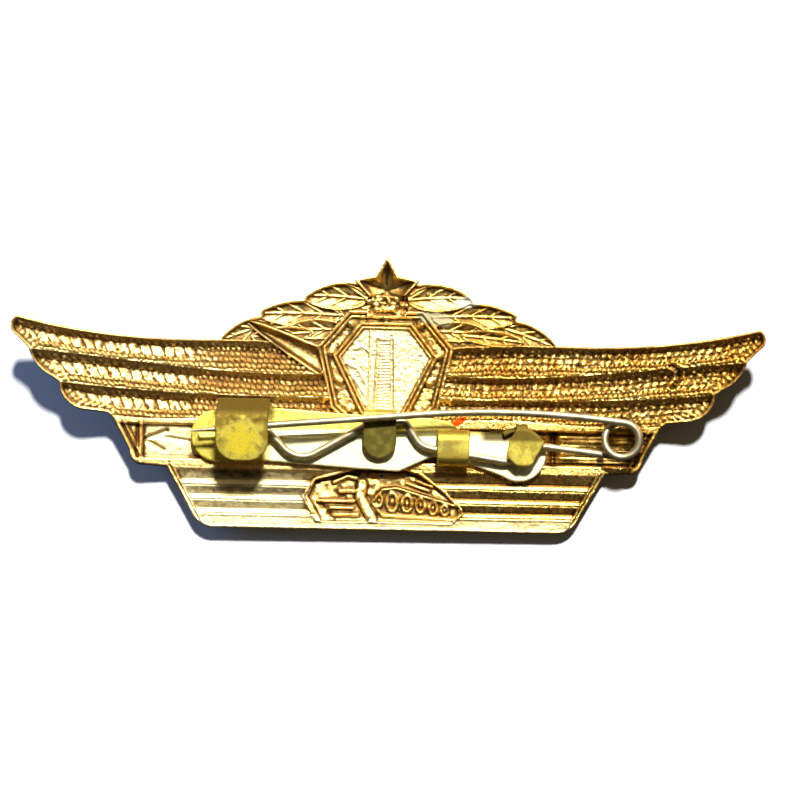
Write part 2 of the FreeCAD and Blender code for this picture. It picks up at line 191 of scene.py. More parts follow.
def arc(start, middle, end, spacing):
    """Points along the circle through three points, without the first one."""
    ax, az = start
    bx, bz = middle
    cx, cz = end
    d = 2 * (ax * (bz - cz) + bx * (cz - az) + cx * (az - bz))
    a2, b2, c2 = ax * ax + az * az, bx * bx + bz * bz, cx * cx + cz * cz
    ox = (a2 * (bz - cz) + b2 * (cz - az) + c2 * (az - bz)) / d
    oz = (a2 * (cx - bx) + b2 * (ax - cx) + c2 * (bx - ax)) / d
    radius = math.hypot(ax - ox, az - oz)
    begin = math.atan2(az - oz, ax - ox)
    sweep = (math.atan2(cz - oz, cx - ox) - begin) % (2 * math.pi)
    part = (math.atan2(bz - oz, bx - ox) - begin) % (2 * math.pi)
    if part > sweep:
        sweep -= 2 * math.pi
    count = max(2, round(abs(sweep) * radius / spacing))
    turns = [begin + sweep * (i + 1) / count for i in range(count)]
    return [(ox + radius * math.cos(t), oz + radius * math.sin(t)) for t in turns]


WREATH_TOP = (0, 10.95)
HALF_OUTLINE = [
    # from the wreath's top to the bar's foot: the end of a line, or the middle and the end of an arc
    [(3, 10.95)], [(6.3, 10.7), (8.3, 9.6)], [(8.45, 9.2)], [(10.9, 8.85), (12.75, 8.1)], [(12.75, 7.5)],
    [(15.2, 6.6), (16.75, 5.15)], [(27.2, 5.4), (36.55, 7)], [(HALF_SPAN, 6), (36.55, 5)],
    [(35.4, 3.8)], [(34.6, 2.2), (33.1, 1)], [(32.4, 0.45)], [(31.25, -1.7), (29.55, -2.25)],
    [(27.7, -2.45)], [(27.2, -2.9)], [(25.5, -6.1)], [(25.05, -7.2), (24, -7.55)], [(21.8, -7.7)],
    [(19.2, -12.4)], [(18.25, -13.32), (17, BOTTOM)], [(0, BOTTOM)]]


def half_outline(spacing):
    """The right-hand half of the silhouette."""
    points = [WREATH_TOP]
    for *middle, end in HALF_OUTLINE:
        chain = arc if middle else straight
        points += chain(points[-1], *middle, end, spacing)
    return points


def star_corners():
    """The star's points and the corners between them, clockwise from its top point."""
    corners = []
    for i in range(10):
        angle = math.pi / 2 - i * math.pi / 5
        reach = STAR_RADIUS * (1 if i % 2 == 0 else STAR_WAIST)
        corners.append((CREST_X + reach * math.cos(angle), STAR_Z + reach * math.sin(angle)))
    return corners


def outline(spacing):
    """Closed silhouette, clockwise from the star's top point."""
    half = half_outline(spacing)
    star = star_corners()
    # the star's top point and two arms stand clear of the wreath; its legs lie inside it
    arm_right, arm_left = star[2], star[8]
    foot_right = (arm_right[0] - 0.18, half[0][1])
    foot_left = (arm_left[0] + 0.18, half[0][1])
    right = [p for p in half if p[0] > arm_right[0] or p[1] < 0]
    left = [(-x, z) for x, z in reversed(half[:-1]) if -x < arm_left[0] or z < 0]
    crown = [star[9], star[0], star[1], arm_right]
    chain = crown + [foot_right] + right + left + [foot_left, arm_left]
    points = []
    for a, b in zip(chain, chain[1:] + chain[:1]):
        points += [a] + straight(a, b, spacing)[:-1]
    return points


def edge_distance(x, z, loop):
    """Distance of each point to a finely divided closed loop."""
    tree = KDTree(len(loop))
    for i, (px, pz) in enumerate(loop):
        tree.insert((px, pz, 0), i)
    tree.balance()
    nearest = np.array([tree.find((px, pz, 0))[1] for px, pz in zip(x.tolist(), z.tolist())])
    corners = np.array(loop)
    result = np.full(len(x), np.inf)
    for step in (-1, 0):
        a = corners[(nearest + step) % len(loop)]
        d = corners[(nearest + step + 1) % len(loop)] - a
        px, pz = x - a[:, 0], z - a[:, 1]
        t = np.clip((px * d[:, 0] + pz * d[:, 1]) / (d ** 2).sum(1), 0, 1)
        result = np.minimum(result, np.hypot(px - t * d[:, 0], pz - t * d[:, 1]))
    return result


def crossings(loop, level):
    """Where a closed loop crosses a level Z, in order along X."""
    a = np.array(loop)
    b = np.roll(a, -1, axis=0)
    hit = (a[:, 1] > level) != (b[:, 1] > level)
    a, b = a[hit], b[hit]
    return np.sort(a[:, 0] + (level - a[:, 1]) / (b[:, 1] - a[:, 1]) * (b[:, 0] - a[:, 0]))


# ---- relief of the stamping

ROW_EDGES = [
    through((5, 4.5), (16.75, 5.03), (27.2, 5.28), (36.55, 6.9)),
    through((5, 1.95), (17.5, 2.05), (28.5, 3.12), (35.3, 3.75)),
    through((5, -0.5), (17.3, -0.4), (28.4, 0.18), (32.6, 0.55)),
    through((5, -2.95), (19, -2.85), (26.8, -2.75), (29.5, -2.3))]
ROW_DEPTH = 0.58
BARB_PITCH = 1.12
PAIR_PITCH = 0.8  # of the twin beads on the spring's side
BEAD_PITCHES = (0.56, 0.5)  # of the fine beads, on the catch's side and the other
SCALLOPS = [
    (37.05, 6.4), (36.55, 5), (35.4, 3.8), (34.65, 2.3), (33.1, 1), (32.4, 0.45),
    (31.7, -1.1), (30.65, -1.95), (29.55, -2.25), (27.7, -2.45)]
DENT = [(-28.1, 3.35), (-28.85, 2.95), (-28.9, 1.9), (-28.2, 1.25)]


def row_places(x, z):
    """For each row: its top edge, its height, and the share of the way down it."""
    edges = [curve(np.abs(x)) for curve in ROW_EDGES]
    for top, low in zip(edges, edges[1:]):
        yield top, top - low, (top - z) / (top - low)


def feather_rows(x, z, edge):
    """Three troughs per wing: beads under the ridge, broad slanting barbs, and beads again."""
    ax = np.abs(x)
    scallop = path_distance(ax, z, SCALLOPS)
    slant = 0.3 + 0.4 * ramp(ax, 21, 34)
    lattice = 1 - ramp(ax + 3 * (speckle(x, z, 2.5) - 0.5), 16, 21)
    near_tip = 1 - ramp(scallop, 0.85, 1.15)
    lumps = speckle(x, z, 0.45)
    shift = 0.3 * (speckle(x, z, 1.3, 2) - 0.5)
    bead = np.where(x > 0, *BEAD_PITCHES)
    depth = np.zeros_like(x)
    for row, (top, height, v) in enumerate(row_places(x, z)):
        inside = (v > 0) & (v < 1)
        falling, rising = np.clip(v / 0.3, 0, 1), 1 - ((v - 0.3) / 0.7).clip(0, 1) ** 1.15
        trough = ROW_DEPTH * np.where(v < 0.3, falling, rising)
        u = ax - slant * (z - top + height / 2) + 0.31 * row + shift
        w = top - z + 0.22 * (speckle(x, z, 1.1, 5) - 0.5)
        barb = 0.09 * (1 - stripe(u, BARB_PITCH, 0.065)) + 0.05 * bulge(u / BARB_PITCH)
        barb -= 0.14 * (1 - lumps)
        beads = bulge(u / bead + 0.5 * np.floor(w / bead)) * bulge(w / bead)
        beads = beads ** 1.3 * (0.2 + 0.34 * lumps)
        small = bulge(u / PAIR_PITCH) ** 3 * line_bump(v - 0.2, 0.07) * 0.14
        beaded = np.maximum(lattice * (x > 0), np.maximum(ramp(v, 0.66, 0.74), 1 - ramp(v, 0.24, 0.3)))
        paired = 0.24 * bulge(u / PAIR_PITCH) ** 0.7 * bulge(w / 0.62) ** 0.6
        ribs = np.where(x > 0, barb, barb * 0.3 + paired)
        barbs = beads * beaded + ribs * (1 - beaded)
        ring = 0.24 * line_bump(scallop - 0.62, 0.22) * (0.25 + 0.75 * bulge((0.7 * ax + 0.7 * z) / 0.55))
        barbs = barbs * (1 - near_tip) + ring
        cover = between(v, 0.22, 0.32, 0.92, 0.97)
        sand = 0.07 * (speckle(x, z, 0.24, 6) - 0.5) * (1 + (x < 0) + 0.5 * cover * (x > 0))
        depth = np.where(inside, trough + 0.05 - barbs * cover - small + sand, depth)
    dent = path_distance(x, z, DENT)
    return depth * ramp(edge, 0.12, 0.36) + 0.3 * line_bump(dent, 0.22) - 0.12 * line_bump(dent - 0.4, 0.15)


def along_across(x, z, start, end):
    """Length of a line, and of each point the share along it and the distance to its left."""
    dx, dz = end[0] - start[0], end[1] - start[1]
    length = math.hypot(dx, dz)
    share = ((x - start[0]) * dx + (z - start[1]) * dz) / length ** 2
    return length, share, ((z - start[1]) * dx - (x - start[0]) * dz) / length


LEAVES = [
    # tip, root, half width and bow on the catch's side, the lowest of the heap first
    ((16.9, 4.9), (9.6, 7.3), 1.25, 0.5),
    ((12.9, 7.75), (4.4, 7.7), 1.3, 0.5),
    ((8.4, 9.65), (2, 9.35), 1.35, 0.5),
    ((9.9, 6.15), (4.2, 6.25), 1, 0.35),
    ((13.6, 5.35), (7.4, 5.95), 0.75, 0.2),
]


def leaf_depth(x, z, tip, root, half_width, bow):
    """A dished leaf with thin raised veins, and the mask of its inside."""
    length, s, across = along_across(x, z, root, tip)
    across = across - bow * s * (1 - s)
    width = half_width * np.clip(4 * s * (1 - s), 0, 1) ** 0.55
    inner = width - np.abs(across)
    inside = (s > 0) & (s < 1) & (inner > 0)
    depth = 0.2 + 0.34 * np.sqrt(np.clip(inner / half_width, 0, 1))
    depth = depth - 0.16 * line_bump(inner, 0.12)
    veins = stripe(s * length - 1.9 * np.abs(across), 1.9, 0.14) * ramp(inner, 0.15, 0.35)
    depth = depth - 0.11 * veins - 0.15 * line_bump(across, 0.1) + 0.06 * speckle(x, z, 0.5)
    return depth, inside


WREATH_HALF = 16.9


def wreath(x, z):
    """The heap of leaves on both sides of the star, over a plain ground."""
    ax = np.where(x - CREST_X > 0, x - CREST_X * 0.5, CREST_X * 0.5 - x)
    depth = np.full_like(x, 0.42)
    for leaf in LEAVES:
        dished, inside = leaf_depth(ax, z, *leaf)
        depth = np.where(inside, dished, depth)
    return depth


def shield(top, shoulder, waist, foot):
    """A shield's outline, clockwise, from the corners of its right half."""
    return [top, shoulder, waist, foot] + [(-x, z) for x, z in (waist, shoulder, top)]


def shield_face(margin):
    """The shield's front, drawn in by a margin."""
    return shield(
        (4.1 - 0.6 * margin, 7.5 - margin), (6.75 - 1.05 * margin, 4.6 - 0.4 * margin),
        (5.3 - margin, -1.5), (0, -6.2 + 1.4 * margin))


SHIELD_OUTER = shield((3.7, 8.2), (6.75, 4.6), (5.3, -1.5), (0, -6.2))
SHIELD_INNER = shield((2.4, 6.75), (4.8, 3.65), (2.3, -1.4), (0, -4.9))
ENAMEL_MARGIN = 1.75
ENAMEL_DEPTH = 0.45
KNOBS = [
    (5.45, 4), (4.45, 1.1), (-5.35, 3.9), (-4.4, 1.15), (0, 7.35), (3.5, 6.9), (-3.5, 6.9), (3.5, -1.6),
    (-3.4, -1.8)]
PLUMES = [
    [(3.9, 3), (2.7, 2.4), (1.9, 1)], [(3.9, 2.1), (2.9, 1.3), (2, -0.2)],
    [(3.6, 1.2), (2.7, 0.2), (1.9, -1.3)], [(3.1, 4.4), (2.3, 4.7), (1.7, 4.2)]]


def shield_depth(x, z):
    """Frame with corded rims and knobs, a double line round the field, and a ribbed pillar."""
    cx = x - CREST_X
    outer = inset(cx, z, SHIELD_OUTER)
    inner = inset(cx, z, SHIELD_INNER)
    cord = 0.75 + 0.25 * bulge((x + z) / 0.36) + 0.15 * speckle(x, z, 0.6)
    depth = 0.4 * ramp(outer, 0.15, 0.35)
    depth -= 0.3 * line_bump(outer - 0.55, 0.14) * (inner < -0.45) * cord
    for kx, kz in KNOBS:
        away = np.hypot(cx - kx, z - kz)
        depth -= 0.3 * line_bump(away, 0.32) * (inner < 0)
    depth -= (0.32 * line_bump(inner + 0.22, 0.13) + 0.22 * line_bump(inner - 0.2, 0.09)) * cord
    field = ramp(inner, 0.3, 0.5)
    half_width = 0.55 + 0.03 * (5.4 - z)
    side = half_width - np.abs(cx - 0.1)
    pillar = ramp(side, -0.04, 0.06) * (1 - ramp(z, 5.2, 5.35))
    ribs = 0.13 * bulge(z / 0.31 + 0.5 * speckle(x, z, 0.8)) * ramp(side, 0.06, 0.16)
    border = 0.13 * line_bump(side + 0.16, 0.1) * (z < 5.5)
    plumes = sum(line_bump(path_distance(cx, z, line), 0.12) for line in PLUMES)
    ray = line_bump(cx - 1.55, 0.07)
    relief_lines = border * (1 - pillar) - 0.07 * plumes - 0.09 * ray * (1 - pillar)
    depth += field * (pillar * (0.16 - ribs) + relief_lines)
    return depth + 0.05 * (speckle(x, z, 0.22) - 0.5) + 0.05 * (1 - field) * (speckle(x, z, 0.5) - 0.5)


def star_share(x, z):
    """0 at the star's centre, 1 on its outline."""
    cx, cz = x - CREST_X, z - STAR_Z
    reach = np.hypot(cx, cz)
    turn = 2 * math.pi / 5
    angle = np.abs((np.arctan2(cx, cz) + turn / 2) % turn - turn / 2)
    waist = STAR_RADIUS * STAR_WAIST
    s, c = math.sin(turn / 2), math.cos(turn / 2)
    edge = STAR_RADIUS * waist * s / (waist * s * np.cos(angle) + (STAR_RADIUS - waist * c) * np.sin(angle))
    return reach / edge


COLLAR = [(-1.9, 9.75), (1.9, 9.75), (2.5, 8.7), (1.7, 7.7), (-1.7, 7.7), (-2.5, 8.7)]


def star_depth(x, z):
    """The hollow of the star, and the rough lump that hides its legs; also the lump's mask."""
    share = star_share(x, z)
    hollow = 0.95 * np.sqrt(np.clip(1 - share / 0.86, 0, 1)) - 0.06 * ramp(share, 0.86, 0.92)
    collar = inset(x - CREST_X, z, COLLAR)
    lumps = 0.38 + 0.34 * speckle(x, z, 0.42) - 0.2 * speckle(x, z, 1.1, 3)
    lumps += 0.14 * speckle(x, z, 0.2, 9)
    covered = collar > -0.1 + 0.3 * speckle(x, z, 0.8)
    return np.where(covered, lumps, hollow), covered


DART_TIP, DART_ROOT = (14.1, 6.95), (6.2, 2.85)


def dart_depth(x, z):
    """Long pointed trough that runs from the wreath's catch side under the shield."""
    length, s, across = along_across(x, z, DART_TIP, DART_ROOT)
    width = 1.15 * np.clip(s, 0, 1) ** 0.62
    q = np.abs(across) / np.maximum(width, 1e-6)
    inside = (s > 0) & (s < 1)
    depth = 0.75 * dish(q) - 0.1 * line_bump((q - 1.08) * width, 0.14)
    return np.where(inside & (q < 1.3), depth, 0), inside & (q < 1.2)


BAR_TOP = -7.45
# the slot is darkened with painted shade
SLOT_X = -16.65  # a dark slot on the spring's side


def panel_depth(x, z):
    """Framed end panels below the wings."""
    ax = np.abs(x)
    slope = 27.15 - (-2.9 - z) * 0.5
    border = slope - ax
    inside = (z < -2.95) & (z > BAR_TOP) & (border > 0)
    catch_side = x > 0
    frame_line = np.minimum(np.minimum(-3.35 - z, z + 6.95), border - 0.35)
    pocket = 0.4 * ramp(frame_line, 0, 0.3)
    pocket -= 0.4 * line_bump(ax - 24.35, 0.16) * catch_side
    pocket += 0.25 * line_bump(ax - 24.75, 0.18) * catch_side * ramp(frame_line, 0, 0.3)
    pocket -= 0.35 * line_bump(border - 0.95, 0.12)
    # a small swept dart with a trail on the catch's side
    dart = path_distance(x, z, [(24, -5), (21.9, -4.15)]) - 0.2
    dart = np.minimum(dart, path_distance(x, z, [(24, -5), (22.2, -6)]) - 0.16)
    trail = path_distance(x, z, [(22.4, -4.7), (19.6, -5.1)]) - 0.12
    mark = 0.2 * (1 - ramp(dart, -0.25, 0.2)) + 0.09 * (1 - ramp(trail, -0.2, 0.2))
    # long lying troughs on the spring's side
    lying = 0.3 * dish(z + 4.2) + 0.24 * dish((z + 6.1) / 0.75) - 0.08 * bulge(z / 0.42)
    lying += 0.16 * (speckle(0.35 * x, z, 0.5) - 0.5) + 0.6 * line_bump(x - SLOT_X, 0.4)
    inner = ramp(frame_line, 0, 0.25)
    depth = pocket + np.where(catch_side, mark, lying) * inner
    return np.where(inside, depth, 0), inside


BAR_RIDGES = [-7.75, -9.3, -10.75, -12.1]


def bar_depth(x, z):
    """Three level troughs with fine lines between them, over a plain strip."""
    ax = np.abs(x)
    border = 21.75 - (-7.7 - z) * 0.55 - ax
    z = z + 0.05 * (speckle(0.25 * x, z, 0.8) - 0.5)
    depth = np.zeros_like(x)
    for top, low in zip(BAR_RIDGES, BAR_RIDGES[1:]):
        v = (top - z) / (top - low)
        inside = (v > 0) & (v < 1)
        floor_slope = np.where(v < 0.72, v / 0.72, 1 - (v - 0.72) / 0.16).clip(0, 1)
        depth = np.where(inside, 0.32 * floor_slope, depth)
    for ridge in BAR_RIDGES[1:]:
        depth += 0.1 * line_bump(z - ridge - 0.14, 0.055) + 0.08 * line_bump(z - ridge + 0.1, 0.055)
    depth += 0.05 * between(-z, 12.3, 12.5, 13.3, 13.5)
    depth += 0.03 * (speckle(0.3 * x, z, 0.5, 4) - 0.5)
    depth *= ramp(border, 0.5, 0.9)
    return depth - 0.08 * line_bump(border - 0.62, 0.1) + 0.1 * line_bump(border - 0.4, 0.08)


CARRIER = [
    (-7.55, -10.9), (-5.9, -9.7), (-4.5, -8.3), (-1.9, -7.45), (2.9, -7.5), (7.1, -8.7), (8.25, -10.35),
    (6.85, -12.85), (-6.7, -12.8), (-7.7, -11.9)]
TRACK = [
    (-7.5, -11.1), (-1.1, -9.3), (0.3, -9.5), (1.4, -10.85), (0.3, -12.15), (-6.8, -12.5), (-7.5, -11.9)]
WHEELS = [
    # middle, half width and half height
    (0.62, -10.65, 0.34, 0.62), (-0.71, -10.79, 0.62, 1.05), (-2.2, -10.9, 0.57, 0.95),
    (-3.55, -11.05, 0.5, 0.82), (-4.8, -11.3, 0.45, 0.7), (-5.95, -11.5, 0.38, 0.56)]
PLATING = [
    # raised edges of the hull: a chain of points and half the edge's width
    ([(7.2, -8.95), (7.95, -10.34), (7.3, -11.47), (6.6, -12.65)], 0.22),
    ([(2.3, -9), (2.5, -10.3), (1.2, -12.5)], 0.45),
    ([(6.6, -10.8), (3.1, -10.74)], 0.12),
    ([(5.15, -8.88), (3.77, -8.3), (2.88, -8.46)], 0.16),
    ([(4.5, -9.75), (3, -9.73)], 0.2),
    ([(5.4, -11.4), (3.2, -11.4)], 0.14),
    ([(5.1, -12.1), (2.7, -12.1)], 0.16),
    ([(-2.1, -8.86), (-4.4, -9.57)], 0.13),
    ([(-3.1, -8.6), (-4.7, -9.15)], 0.1)]


def carrier_depth(x, z):
    """A plain tracked carrier, three-quarter view: plated prow, deck and a run of wheels."""
    body = inset(x, z, CARRIER)
    rough = speckle(x, z, 0.45)
    depth = (0.84 - 0.09 * (-7.5 - z)) * ramp(body, 0, 0.2) + 0.12 * (rough - 0.5)
    for line, half_width in PLATING:
        away = path_distance(x, z, line)
        depth -= 0.38 * (1 - ramp(away, half_width * 0.6, half_width * 1.5))
    depth += 0.2 * line_bump(segment_distance(x, z, (6.5, -11), (5.1, -12.6)), 0.3)
    track = inset(x, z, TRACK)
    depth = np.where(track > 0, 0.36 + 0.1 * (rough - 0.5), depth) - 0.24 * line_bump(track - 0.05, 0.16)
    for wx, wz, wide, high in WHEELS:
        q = np.hypot((x - wx) / wide, (z - wz) / high)
        depth -= 0.26 * line_bump((q - 0.85) * wide, 0.12) + 0.2 * line_bump(q * wide, 0.13)
        depth += 0.14 * line_bump((q - 0.42) * wide, 0.1)
    return np.where(body > 0, depth, 0), body > -0.1


def rough_noise(x, z):
    """Slow unevenness of a die-struck surface, the same on every run."""
    total = np.zeros_like(x)
    for k, (fx, fz, phase) in enumerate((
            (1.3, 0.9, 0.4), (-0.7, 2.1, 1.9), (2.9, -1.7, 2.7), (4.1, 3.3, 0.9), (-5.3, 4.7, 3.6))):
        total += np.sin(fx * x + fz * z + phase + 1.7 * np.sin(0.6 * fz * x - 0.5 * fx * z)) / (k + 1.5)
    return total * 0.01 + 0.022 * (speckle(x, z, 0.32, 1) - 0.5)


def relief(x, z, edge):
    """Depth of the back face below its flat level, and the same for the front face."""
    depth = feather_rows(x, z, edge)
    top_edge = ROW_EDGES[0](np.abs(x))
    crest = (z > top_edge) & (np.abs(x) < WREATH_HALF)
    depth = np.where(crest, wreath(x, z) * ramp(edge, 0.08, 0.35), depth)
    panel, in_panel = panel_depth(x, z)
    depth = np.where(in_panel, panel * ramp(edge, 0.1, 0.3), depth)
    bar = bar_depth(x, z) * ramp(edge, 0.1, 0.35)
    depth = np.where(z <= BAR_TOP, bar, depth)
    dart, in_dart = dart_depth(x, z)
    depth = np.where(in_dart, dart, depth)
    in_shield = inset(x - CREST_X, z, SHIELD_OUTER) > 0
    depth = np.where(in_shield, shield_depth(x, z), depth)
    share = star_share(x, z)
    star, collar = star_depth(x, z)
    depth = np.where((share < 1) | collar, star, depth)
    carrier, in_carrier = carrier_depth(x, z)
    depth = np.where(in_carrier, carrier, depth)
    front = depth.copy()
    face = inset(x - CREST_X, z, shield_face(0))
    rim = ramp(face, -0.05, 0.12) * RISE
    cell = ramp(inset(x - CREST_X, z, shield_face(ENAMEL_MARGIN)), -0.15, -0.03) * ENAMEL_DEPTH
    front = np.where(in_shield, 0.3, front)
    front = np.where(face > -0.05, rim - cell, front)
    in_star = ramp(1 - share, -0.02, 0.04) * RISE
    front = np.where(share < 1.02, in_star - ENAMEL_DEPTH * ramp(0.83 - share, 0, 0.04), front)
    depth = np.maximum(depth, -0.08)
    front = np.clip(front, -0.08, RISE)
    noise = rough_noise(x, z)
    rounding = 0.22 - np.sqrt(np.clip(0.22 ** 2 - np.clip(0.22 - edge, 0, 0.22) ** 2, 0, None))
    return depth + noise + rounding, front + 0.6 * noise - rounding


def arch(x):
    """How far the sheet lies behind the flat middle, where the wings bend back."""
    reach = np.clip(np.abs(x) - FLAT_HALF, 0, None)
    folded = FOLD_RADIUS * math.sin(FOLD)
    fold = FOLD_RADIUS - np.sqrt(FOLD_RADIUS ** 2 - np.minimum(reach, folded) ** 2)
    sine = math.sin(FOLD) + np.clip(reach - folded, 0, None) / WING_RADIUS
    return fold + WING_RADIUS * (math.cos(FOLD) - np.sqrt(1 - sine ** 2))


# ---- mesh builders

def placed(name, data):
    obj = bpy.data.objects.new(name, data)
    bpy.context.scene.collection.objects.link(obj)
    return obj


def mesh_object(name, vertices, faces, material, attributes=None):
    mesh = bpy.data.meshes.new(name)
    mesh.from_pydata((np.asarray(vertices) * MM).tolist(), [], faces)
    mesh.polygons.foreach_set("use_smooth", [True] * len(mesh.polygons))
    for key, values in (attributes or {}).items():
        layer = mesh.attributes.new(key, "FLOAT", "POINT")
        layer.data.foreach_set("value", np.asarray(values, dtype=np.float32))
    mesh.materials.append(material)
    mesh.update()
    return placed(name, mesh)


def grid_inside(loop, spacing, room):
    """Staggered rows of points inside a loop, no nearer to it than the room."""
    low, high = np.min(loop, axis=0), np.max(loop, axis=0)
    rows = []
    for k, level in enumerate(np.arange(low[1] + room, high[1], spacing * 0.866)):
        ends = crossings(loop, level)
        for start, end in zip(ends[::2], ends[1::2]):
            first = math.ceil(start / spacing) + 0.5 * (k % 2)
            xs = np.arange(first * spacing, end, spacing)
            rows.append(np.stack([xs, np.full(len(xs), level)], 1))
    points = np.concatenate(rows)
    return points[edge_distance(points[:, 0], points[:, 1], loop) > room]


def ring_inside(loop, distance):
    """A row of points set in from a clockwise loop, without those that come out elsewhere."""
    a = np.array(loop)
    along = np.roll(a, -1, axis=0) - np.roll(a, 1, axis=0)
    along /= np.linalg.norm(along, axis=1)[:, None]
    points = a + distance * np.stack([along[:, 1], -along[:, 0]], 1)
    inside = np.array([np.sum(crossings(loop, pz) > px) % 2 == 1 for px, pz in points])
    return points[inside & (edge_distance(points[:, 0], points[:, 1], loop) > 0.9 * distance)]


def cavity(values, faces):
    """Mean of the neighbours' depth less a point's own: positive on ridges, negative in grooves."""
    edges = np.concatenate([faces[:, [0, 1]], faces[:, [1, 2]], faces[:, [2, 0]]])
    mean = values.copy()
    for _ in range(10):
        total = np.zeros(len(values))
        count = np.zeros(len(values))
        for i, j in ((0, 1), (1, 0)):
            total += np.bincount(edges[:, i], weights=mean[edges[:, j]], minlength=len(values))
            count += np.bincount(edges[:, i], minlength=len(values))
        mean = total / np.maximum(count, 1)
    return mean - values


STAINS = [
    # colour, centre, half sizes, turn in degrees: dried glue, red paint, verdigris, blue paint
    ((0.66, 0.58, 0.33), (-5.6, 9), (3.3, 0.75), -14),
    ((0.7, 0.64, 0.44), (-7.9, 9.3), (1.5, 0.6), -8),
    ((0.46, 0.38, 0.18), (-4.6, 7.6), (1.9, 0.7), 10),
    ((0.62, 0.06, 0.004), (-6.9, -2.8), (1.3, 0.32), -28),
    ((0.05, 0.16, 0.1), (-2.7, -8.05), (0.7, 0.12), -10),
    ((0.05, 0.22, 0.45), (0.35, -8.15), (0.16, 0.2), 0),
]


def stain_colours(x, z):
    """Colour and amount of each stain, as red, green, blue and share."""
    result = np.zeros((len(x), 4))
    result[:, :3] = STAINS[0][0]
    for colour, centre, size, turn in STAINS:
        c, s = math.cos(math.radians(turn)), math.sin(math.radians(turn))
        dx, dz = x - centre[0], z - centre[1]
        away = np.hypot((dx * c + dz * s) / size[0], (dz * c - dx * s) / size[1])
        share = 1 - ramp(away, 0.5, 1.3)
        near = away < 1.6
        result[near, :3] = colour
        result[:, 3] = np.where(near, share, result[:, 3])
    return result


def wear_and_sheen_share(x, z):
    """Where the gilding is painted paler: partly rubbed gilding, partly a painted sheen on flat faces that
    catch the light.
    """
    bar = between(x, 6.5, 9.5, 19.5, 21) * ramp(-z, 7.9, 8.4)
    strip = 0.6 * ramp(-z, 12.25, 12.45)
    field = 0.8 * ramp(inset(x - CREST_X, z, SHIELD_INNER), 0.2, 0.6)
    panel = 0.6 * between(x, 19, 20, 23.6, 24.2) * between(-z, 3.3, 3.7, 6.7, 7.1)
    return np.max([bar, strip, field, panel], axis=0)


def painted_shade_share(x, z):
    """Where the gilt gets painted shade: under each row's ridge, where the slope turns from the light, and
    in the dent, the slot, the star's hollow, round the coil and under the top of the carrier; also darker in
    the bar's upper troughs.
    """
    grainy = 0.3 * (speckle(x, z, 0.5, 7) - 0.5)
    wing = (np.abs(x) > 6.4) & (z > -2.9)
    painted_shade = np.zeros_like(x)
    # painted shade in the band under each row's ridge, whose slope faces away from the light
    for top, height, v in row_places(x, z):
        reach = np.where(x > 0, 0.24, 0.34 - 0.16 * ramp(-x, 26, 33))
        band = (v > 0) * (1 - ramp(v + grainy, reach, reach + 0.12))
        painted_shade = np.maximum(painted_shade, band * (v < 1) * wing)
    # painted shade in the dent, the slot, the star's hollow, round the coil and under the carrier's top
    painted_shade = np.maximum(painted_shade, line_bump(path_distance(x, z, DENT), 0.3))
    slot = line_bump(x - SLOT_X, 0.42) * (z < -3.5) * (z > -7.2)
    star = 0.7 * (1 - ramp(np.hypot(x - CREST_X + 0.5, z - STAR_Z - 0.1), 0.9, 1.7))
    from_coil = np.hypot(x - COIL[0], z - COIL[2])
    ring = 0.95 * between(from_coil, 0.35, 0.9, 2.3, 2.9)
    lower = 0.6 * ramp(inset(x - CREST_X, z, CARRIER) * (z > -9.2), 0, 0.1) * ramp(z, -9.3, -8.6)
    # darker in the bar's upper two troughs
    upper_two = [(top - z) / (top - low) for top, low in zip(BAR_RIDGES[:2], BAR_RIDGES[1:])]
    bar = np.max([between(v, 0.05, 0.2, 0.45, 0.7) for v in upper_two], axis=0)
    bar *= 0.25 + 1.1 * speckle(0.5 * x, z, 0.35, 3)
    bar = np.clip(bar, 0, 0.9) * between(x, 7, 9, 16.5, 20)
    return np.max([painted_shade, slot, star, ring, lower, bar], axis=0)


RIM_STEP, BACK_STEP, FRONT_STEP = 0.1, 0.085, 0.14
RIM_ROWS = (0.04, 0.1, 0.18)  # rows of points that follow the rim, this far in,
GRID_ROOM = 0.24  # and the grid's own points start here
PLATE_VOXEL = 0.07


def triangulated(loop, spacing):
    """Points and triangles that fill a loop, and the numbers of the loop's own points."""
    kept = [grid_inside(loop, spacing, GRID_ROOM)] + [ring_inside(loop, d) for d in RIM_ROWS]
    flat = loop + np.concatenate(kept).tolist()
    ring = [(i, (i + 1) % len(loop)) for i in range(len(loop))]
    found = delaunay_2d_cdt([Vector(p) for p in flat], ring, [], 1, 1e-6)
    order = {old[0]: new for new, old in enumerate(found[3]) if old}
    xz = np.array([tuple(v) for v in found[0]])
    return xz[:, 0], xz[:, 1], np.array(found[2]), [order[i] for i in range(len(loop))]


